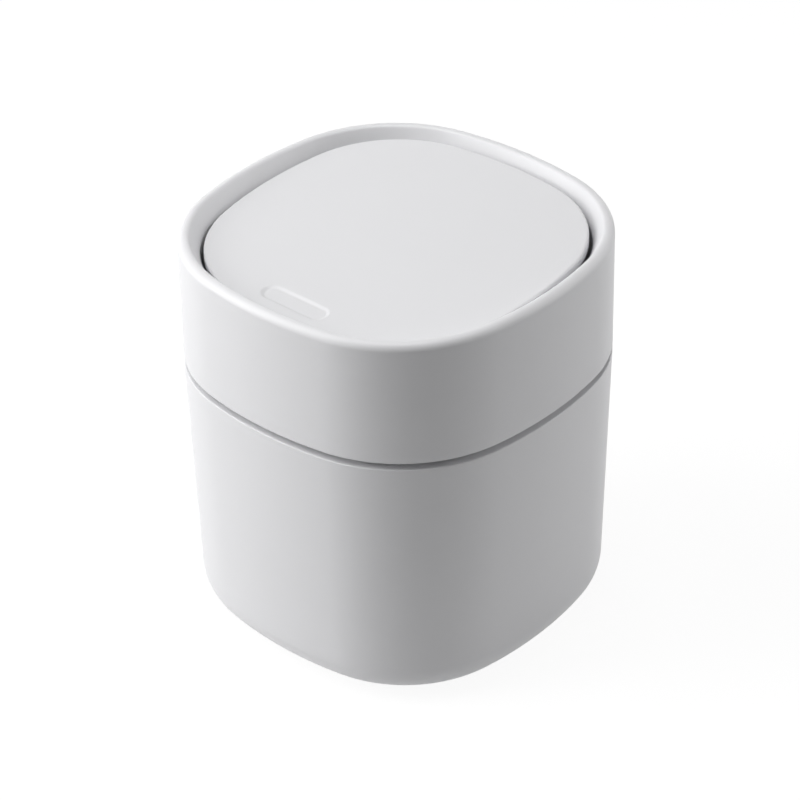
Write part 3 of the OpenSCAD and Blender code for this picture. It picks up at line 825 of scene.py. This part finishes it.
class CBIN_OT_head(Operator):
    """Makes the head's shell with its rolled rim, and the frame inside it"""
    bl_idname = "cbin.head"
    bl_label = "Head shell and frame"

    def execute(self, context):
        top = sizes().total_height / MM
        low = (sizes().shoulder_height + sizes().groove) / MM
        run, fall = WELL_INSET - RIM_CREST, SLOPE_H - RIM_IN_R
        lean = math.degrees(math.acos(RIM_IN_R / math.hypot(run, fall)) - math.atan2(fall, run))
        section = eased(
            arc(SKIRT_OUT_R, low + SKIRT_OUT_R, SKIRT_OUT_R, 270, 180, 6)
            + arc(HEAD_DRAFT + RIM_OUT_R, top - RIM_OUT_R, RIM_OUT_R, 180, 90, 14)
            + arc(RIM_CREST, top - RIM_IN_R, RIM_IN_R, 90, lean, 12)
            + [(WELL_INSET, top - SLOPE_H)]
            + arc(WELL_FOOT - WELL_FOOT_R, SHELF_TOP + WELL_FOOT_R, WELL_FOOT_R, 0, -90, 3)
            + [(WELL_FOOT - WELL_T, SHELF_TOP), (WELL_INSET - WELL_T, top - SLOPE_H - WELL_BEND),
               (HEAD_DRAFT + SKIRT_T, top - RIM_T)]
            + arc(SKIRT_T - SKIRT_IN_R, low + SKIRT_IN_R, SKIRT_IN_R, 0, -90, 3))
        shell = wrapped("head_ring", section, shell_finish())
        place(shell, "head", "shell_white", "head_shell")
        edge = arc(BOSS_R - BOSS_EDGE_R, BOSS_H - BOSS_EDGE_R, BOSS_EDGE_R, 90, 0, 4)
        boss = turned("screw_boss_one", [(0, BOSS_H)] + edge + [(BOSS_R, 0.0), (0, 0)])
        bosses = repeated("screw_boss_set", boss, corners_at(BOSS_INSET, SHELF_TOP), shell_finish())
        place(bosses, "head", "shell_white")
        place(dressed("head_frame", "shelf_frame", inner_finish()),
              "head", "inner_white", "head_frame")
        return {"FINISHED"}


# Hinge

# Corners of a bent wire flatter than this, in degrees, stay as they are, and a bend takes up no
# more than this share of a straight
STRAIGHT = 175
BEND_SHARE = 0.45


def bent(points, radius, steps=5):
    """A path with each inner corner replaced by an arc"""
    path = [Vector(points[0])]
    for before, here, after in zip(points, points[1:], points[2:]):
        here = Vector(here)
        back, ahead = Vector(before) - here, Vector(after) - here
        between = back.angle(ahead)
        if between > math.radians(STRAIGHT):
            path.append(here)
            continue
        longest = BEND_SHARE * min(back.length, ahead.length)
        reach = min(radius / math.tan(between / 2), longest)
        start, stop = here + back.normalized() * reach, here + ahead.normalized() * reach
        for step in range(steps + 1):
            share = step / steps
            rest = 1 - share
            path.append(start * rest ** 2 + here * 2 * share * rest + stop * share ** 2)
    path.append(Vector(points[-1]))
    return path


class CBIN_OT_hinge(Operator):
    """Makes the hinge pins and the two wound springs round them"""
    bl_idname = "cbin.hinge"
    bl_label = "Hinge pins and springs"

    def execute(self, context):
        y, z = (value / MM for value in hinge_axis())
        outline = Outline()
        post_out = outline.half_at(HINGE_INSET, y) - POST_INSET
        knuckle_in = post_out - POST_W - SIDE_GAP - KNUCKLE_W
        coil_out = knuckle_in - SIDE_GAP - WIRE_R
        coil_in = coil_out - COIL_TURNS * COIL_PITCH
        pin_in = coil_in - WIRE_R - PIN_INNER_END
        pin_out = post_out + PIN_PROUD
        flat_r = PIN_R - PIN_EDGE_R
        for side, label in ((-1, "left"), (1, "right")):
            pin = turned(f"pin_{label}", [(0, pin_in)]
                         + arc(flat_r, pin_in + PIN_EDGE_R, PIN_EDGE_R, -90, 0, 4)
                         + arc(flat_r, pin_out - PIN_EDGE_R, PIN_EDGE_R, 0, 90, 4)
                         + [(0, pin_out)], 40)
            pin.data.transform(Matrix.Translation((0, y * MM, z * MM)) @ Matrix.Rotation(
                side * math.pi / 2, 4, "Y"))
            coat(pin, steel_finish())
            place(pin, "head", "steel", f"hinge_pin_{label}")
            curls = []
            steps = round(COIL_TURNS * COIL_STEPS)
            for i in range(steps + 1):
                angle = math.radians(270 + COIL_TURNS * 360 * i / steps)
                curls.append((side * (coil_in + (coil_out - coil_in) * i / steps),
                              y + COIL_R * math.cos(angle), z + COIL_R * math.sin(angle)))
            down = [(side * coil_out, y - COIL_R, z - drop) for drop in (LEG_TOP, LEG_END)]
            coil = wire(f"spring_coil_{label}", curls + down, WIRE_R, steel_finish())
            place(coil, "head", "steel", f"hinge_spring_{label}")
            slope = math.tan(sizes().lid_dip + math.radians(PRESS_TURN))
            arm = [(side * coil_in, y - reach, z - COIL_R - reach * slope)
                   for reach in (ARM_END, ARM_START)]
            lever = wire(f"spring_arm_{label}", arm, WIRE_R, steel_finish())
            place(lever, "lid", "steel")
        return {"FINISHED"}


# Latch

class CBIN_OT_latch(Operator):
    """Makes the push latch under the lid's dimple"""
    bl_idname = "cbin.latch"
    bl_label = "Push latch"

    def execute(self, context):
        place(dressed("latch_housing", "latch_case", inner_finish(), edge=0.25),
              "head", "inner_white", "latch_housing")
        place(dressed("latch_slider", "latch_jaws", latch_finish(), edge=0.15),
              "latch", "latch_grey", "latch_slider")
        # The coil stands on a short leg and carries the slider on another, both upright
        low, high = CHAMBER_FLOOR + LATCH_LEG, SLIDER_Z - LATCH_LEG
        upright = [(LATCH_COIL_R, LATCH_Y, z) for z in (
            CHAMBER_FLOOR + LEG_PLAY, low - LEG_TURN, high + LEG_TURN, SLIDER_Z - LEG_PLAY)]
        curls = []
        steps = LATCH_TURNS * LATCH_STEPS
        for i in range(1, steps):
            angle = 2 * math.pi * LATCH_TURNS * i / steps
            curls.append((LATCH_COIL_R * math.cos(angle), LATCH_Y + LATCH_COIL_R * math.sin(angle),
                          low + (high - low) * i / steps))
        spring = wire("latch_coil", upright[:2] + curls + upright[2:], LATCH_WIRE_R, steel_finish())
        place(spring, "head", "steel", "latch_spring")
        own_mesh(spring)
        guide_y, end_z = LATCH_Y + GUIDE_BACK, SLIDER_Z + GUIDE_RISE
        line = bent([(0, guide_y, CHAMBER_FLOOR), (0, guide_y, end_z),
                     (0, LATCH_Y + GUIDE_TIP, end_z)], GUIDE_BEND)
        pin = wire("latch_guide", line, GUIDE_R, steel_finish())
        place(pin, "head", "steel", "latch_guide_pin")
        return {"FINISHED"}


# Lid

def dimple_rings():
    """Rings of the finger dimple from its edge to its floor: (distance in from the edge, depth)"""
    depth = sizes().dimple_depth / MM
    rings = [(-0.35, 0.0)]
    for i in range(13):
        share = i / 12
        rings.append((DIMPLE_SLOPE * share, depth * (0.5 - 0.5 * math.cos(math.pi * share))))
    rings.append((DIMPLE_SLOPE + 0.5, depth))
    return rings


def stadium(inset, steps=20):
    """Points of the dimple's outline, drawn in by an inset, in millimetres"""
    half = sizes().dimple_width / MM / 2
    reach = sizes().dimple_length / MM / 2 - half
    points = []
    for side in (1, -1):
        for i in range(steps + 1):
            angle = -math.pi / 2 + math.pi * i / steps + (0 if side > 0 else math.pi)
            points.append((side * reach + (half - inset) * math.cos(angle),
                           (half - inset) * math.sin(angle)))
    return points


def lid_mesh():
    """The lid's panel, drawn level: an edge all round, and a flat top with the dimple sunk in it"""
    outline = Outline()
    angles = outline.angles()
    edge = eased(
        [(LID_INSET + FLANGE_T, SKIN_UNDER), (LID_INSET + FLANGE_T, FLANGE_Z)]
        + arc(LID_INSET + FLANGE_R, FLANGE_Z, FLANGE_R, 270, 180, 3)
        + arc(LID_INSET + LID_EDGE_R, SKIN_TOP - LID_EDGE_R, LID_EDGE_R, 180, 90, 10)
        + [(LID_INSET + 1.3, SKIN_TOP), (LID_INSET + 2.0, SKIN_TOP)], run=0.3, closed=False)
    count = len(angles)
    points = [(*outline.point(inset, angle), height) for inset, height in edge for angle in angles]
    faces = ring_faces(len(edge), count)
    faces.append(tuple(range(count)))
    outer = list(range((len(edge) - 1) * count, len(edge) * count))
    dimple_y = -(outline.side_arc - outline.side_back - LID_INSET - DIMPLE_IN)
    rings = dimple_rings()
    first = len(points)
    size = len(stadium(0))
    for inset, depth in rings:
        for x, y in stadium(inset):
            points.append((x, y + dimple_y, SKIN_TOP - depth))
    faces += ring_faces(len(rings), size, first=first)
    faces.append(tuple(range(first + (len(rings) - 1) * size, first + len(rings) * size)))
    inner = list(range(first, first + size))
    loops = [[Vector(points[i]) for i in outer], [Vector(points[i]) for i in inner]]
    index = outer + inner
    faces += [tuple(index[i] for i in triangle) for triangle in tessellate_polygon(loops)]
    mesh = mesh_from("lid_cover", [Vector(p) * MM for p in points], faces)
    mesh.transform(lid_matrix())
    tidy_mesh(mesh)
    return mesh


class CBIN_OT_lid(Operator):
    """Makes the lid's panel with its dimple, the tray under it and the striker"""
    bl_idname = "cbin.lid"
    bl_label = "Lid, tray and striker"

    def execute(self, context):
        cover = new_object("lid_cover", lid_mesh())
        coat(cover, shell_finish())
        place(cover, "lid", "shell_white", "lid_panel")
        place(dressed("lid_inner", "lid_tray", inner_finish()), "lid", "inner_white", "lid_inner")
        place(dressed("latch_striker", "striker_post", latch_finish(), edge=0.12),
              "lid", "latch_grey", "latch_striker")
        return {"FINISHED"}


# Screws

def screw_piece(name, length):
    """One pan-head screw, head down, with a cross recess"""
    profile = [(0, length), (SCREW_R * TIP_SHARE, length), (SCREW_R, length - SCREW_TIP),
               (SCREW_R, 0.0), (SCREW_HEAD_R, 0.0)]
    profile += arc(SCREW_HEAD_R - HEAD_EDGE_R, -HEAD_SIDE, HEAD_EDGE_R, 0, -50, 4)
    profile += arc(0, CROWN_Z, CROWN_R, -66, -90, 8)[1:]
    profile[-1] = (0.0, profile[-1][1])
    screw = turned(name, profile, 40)
    for turn in (0, 90):
        cut = new_object("recess", mesh_from("recess", *cube_parts(RECESS, (0, 0, RECESS_Z))))
        cut.data.transform(Matrix.Rotation(math.radians(turn), 4, "Z"))
        carve = screw.modifiers.new("Recess", "BOOLEAN")
        carve.object = cut
        carve.operation = "DIFFERENCE"
        carve.solver = "EXACT"
        screw = applied(screw)
        bpy.data.objects.remove(cut)
    tidy_mesh(screw.data, smooth_angle=SHARP)
    return screw


def cube_parts(size, centre):
    """Corners and faces of a box, in metres from millimetres"""
    points = [Vector((centre[0] + x * size[0] / 2, centre[1] + y * size[1] / 2,
                      centre[2] + z * size[2] / 2)) * MM
              for x in (-1, 1) for y in (-1, 1) for z in (-1, 1)]
    faces = [(0, 1, 3, 2), (4, 6, 7, 5), (0, 4, 5, 1), (2, 3, 7, 6), (0, 2, 6, 4), (1, 5, 7, 3)]
    return points, faces


class CBIN_OT_screws(Operator):
    """Makes the screws of the frame, the latch and the lid"""
    bl_idname = "cbin.screws"
    bl_label = "Screws"

    def execute(self, context):
        frame_set = repeated("frame_screw_set", screw_piece("frame_screw_one", FRAME_SCREW_L),
                             corners_at(BOSS_INSET, SHELF_UNDER), steel_finish(), SHARP)
        place(frame_set, "head", "steel", "frame_screws")
        one = screw_piece("latch_screw_one", LATCH_SCREW_L)
        one.data.transform(Matrix.Rotation(math.pi, 4, "X"))
        latch_set = repeated("latch_screw_set", one,
                             [(x * LATCH_SCREW_X * MM, LATCH_Y * MM, (SHELF_TOP + LUG_T) * MM)
                              for x in (-1, 1)], steel_finish(), SHARP)
        place(latch_set, "head", "steel", "latch_screws")
        lid_set = repeated("lid_screw_set", screw_piece("lid_screw_one", LID_SCREW_L),
                           [(x * LID_SCREW_X * MM, y * LID_SCREW_Y * MM, PAN_UNDER * MM)
                            for x in (-1, 1) for y in (-1, 1)], steel_finish(), SHARP)
        lid_set.data.transform(lid_matrix())
        place(lid_set, "lid", "steel", "lid_screws")
        return {"FINISHED"}


# Stage

# The photograph's camera: azimuth, elevation and roll in degrees, focal length in pixels of the
# 800 pixel frame, and distance and aim in millimetres
VIEW_AZIMUTH = 41.90
VIEW_ELEVATION = 34.18
VIEW_ROLL = -1.10
VIEW_FOCAL = 3055.7
VIEW_DISTANCE = 1012.2
VIEW_HEIGHT = 70.0
VIEW_SHIFT = (0.15, 2.63)
SENSOR = 36.0

# Strength of the surroundings as light on the object; seen directly they are white
ROOM_LIGHT = 0.02

# Floor: half its side in metres, and the glow that keeps it pale where it is seen directly
FLOOR_REACH = 3
FLOOR_GLOW = 1.12
GLOW_SHARE = 0.82

# Lamps: name, metres to the right of the view, towards the camera and up, then sides and power
LAMPS = (
    ("Left softbox", -0.95, 0.12, 0.62, (0.7, 0.8), 4.6),
    ("Left low softbox", -1.0, 0.0, 0.25, (0.6, 0.8), 4.0),
    ("Right softbox", 1.0, 0.08, 0.45, (0.6, 0.8), 2.3),
    ("Rear softbox", 0.95, -0.35, 0.5, (0.7, 0.8), 2.1),
    ("Top softbox", -0.6, 0.0, 1.0, (0.6, 0.6), 4.3),
    ("Top lamp", 0.0, 0.0, 1.2, (0.3, 0.3), 3.0),
)
LAMP_AIM = Vector((0, 0, 0.08))


def add_camera():
    azimuth, elevation = math.radians(VIEW_AZIMUTH), math.radians(VIEW_ELEVATION)
    back = Vector((math.sin(azimuth) * math.cos(elevation),
                   -math.cos(azimuth) * math.cos(elevation), math.sin(elevation)))
    right = Vector((math.cos(azimuth), math.sin(azimuth), 0))
    up = back.cross(right)
    target = Vector((0, 0, VIEW_HEIGHT)) + right * VIEW_SHIFT[0] + up * VIEW_SHIFT[1]
    roll = math.radians(VIEW_ROLL)
    right_rolled = right * math.cos(roll) + up * math.sin(roll)
    up_rolled = up * math.cos(roll) - right * math.sin(roll)
    data = bpy.data.cameras.new("Photograph view")
    data.sensor_fit = "HORIZONTAL"
    data.sensor_width = SENSOR
    data.lens = VIEW_FOCAL / IMAGE_SIDE * SENSOR
    data.clip_start = 0.01
    data.clip_end = 20.0
    camera = new_object("Photograph view", data)
    eye = (target + back * VIEW_DISTANCE) * MM
    camera.matrix_world = Matrix((
        (right_rolled.x, up_rolled.x, back.x, eye.x),
        (right_rolled.y, up_rolled.y, back.y, eye.y),
        (right_rolled.z, up_rolled.z, back.z, eye.z),
        (0, 0, 0, 1)))
    bpy.context.scene.camera = camera
    return right, back


def add_lamp(name, location, size, power):
    data = bpy.data.lights.new(name, "AREA")
    data.shape = "RECTANGLE"
    data.size, data.size_y = size
    data.energy = power
    lamp = new_object(name, data)
    lamp.location = location
    lamp.rotation_euler = (LAMP_AIM - location).to_track_quat("-Z", "Y").to_euler()


def seen_rays(tree):
    """1 for what the camera sees directly, in a mirror or through glass"""
    path = tree.nodes.new("ShaderNodeLightPath")
    return calc(tree, "MAXIMUM", calc(tree, "MAXIMUM", path.outputs["Is Camera Ray"],
                                      path.outputs["Is Glossy Ray"]),
                path.outputs["Is Transmission Ray"])


class CBIN_OT_stage(Operator):
    """Makes the camera, the lamps, the pale floor and the white surroundings"""
    bl_idname = "cbin.stage"
    bl_label = "Stage"

    def execute(self, context):
        scene = context.scene
        scene.view_settings.view_transform = "Standard"
        right, back = add_camera()
        world = bpy.data.worlds.new("White room")
        world.use_nodes = True
        scene.world = world
        tree = world.node_tree
        ground = tree.nodes["Background"]
        ground.inputs["Color"].default_value = (1, 1, 1, 1)
        level = calc(tree, "ADD", ROOM_LIGHT,
                     calc(tree, "MULTIPLY", seen_rays(tree), 1.0 - ROOM_LIGHT))
        tree.links.new(level, ground.inputs["Strength"])

        spots = [(x * FLOOR_REACH, y * FLOOR_REACH, 0)
                 for x, y in ((-1, -1), (1, -1), (1, 1), (-1, 1))]
        floor = new_object("floor", mesh_from("floor", spots, [(0, 1, 2, 3)]))
        paper = bpy.data.materials.new("Floor paper")
        paper.use_nodes = True
        tree = paper.node_tree
        shader = tree.nodes["Principled BSDF"]
        shader.inputs["Base Color"].default_value = rgba(colours().floor)
        shader.inputs["Roughness"].default_value = 1.0
        shader.inputs["Specular IOR Level"].default_value = 0.0
        glow = tree.nodes.new("ShaderNodeEmission")
        glow.inputs["Color"].default_value = (1, 1, 1, 1)
        glow.inputs["Strength"].default_value = FLOOR_GLOW
        mix = tree.nodes.new("ShaderNodeMixShader")
        tree.links.new(calc(tree, "MULTIPLY", seen_rays(tree), GLOW_SHARE), mix.inputs["Fac"])
        tree.links.new(shader.outputs[0], mix.inputs[1])
        tree.links.new(glow.outputs[0], mix.inputs[2])
        tree.links.new(mix.outputs[0], tree.nodes["Material Output"].inputs["Surface"])
        coat(floor, paper)

        toward = Vector((back.x, back.y, 0)).normalized()
        for name, across, ahead, up, size, power in LAMPS:
            add_lamp(name, right * across + toward * ahead + Vector((0, 0, up)), size, power)
        return {"FINISHED"}


# Panel and run

STEPS = (CBIN_OT_body, CBIN_OT_head, CBIN_OT_hinge, CBIN_OT_latch, CBIN_OT_lid, CBIN_OT_screws,
         CBIN_OT_stage)


class CBIN_PT_sidebar(Panel):
    """Lists the bin's sizes, colours and building steps"""
    bl_idname = "CBIN_PT_sidebar"
    bl_label = "Countertop Bin"
    bl_space_type = "VIEW_3D"
    bl_region_type = "UI"
    bl_category = "Countertop Bin"

    def draw(self, context):
        layout = self.layout
        for group in (context.scene.bin_sizes, context.scene.bin_colours):
            box = layout.box()
            for name in group.__annotations__:
                box.prop(group, name)
        for step in STEPS:
            layout.operator(step.bl_idname)


CLASSES = (BinSizes, BinColours, *STEPS, CBIN_PT_sidebar)


def register():
    for cls in CLASSES:
        bpy.utils.register_class(cls)
    bpy.types.Scene.bin_sizes = PointerProperty(type=BinSizes)
    bpy.types.Scene.bin_colours = PointerProperty(type=BinColours)


def unregister():
    del bpy.types.Scene.bin_colours
    del bpy.types.Scene.bin_sizes
    for cls in reversed(CLASSES):
        bpy.utils.unregister_class(cls)


def main():
    register()
    bpy.ops.cbin.body()
    bpy.ops.cbin.head()
    bpy.ops.cbin.hinge()
    bpy.ops.cbin.latch()
    bpy.ops.cbin.lid()
    bpy.ops.cbin.screws()
    bpy.ops.cbin.stage()


if __name__ == "__main__":
    main()
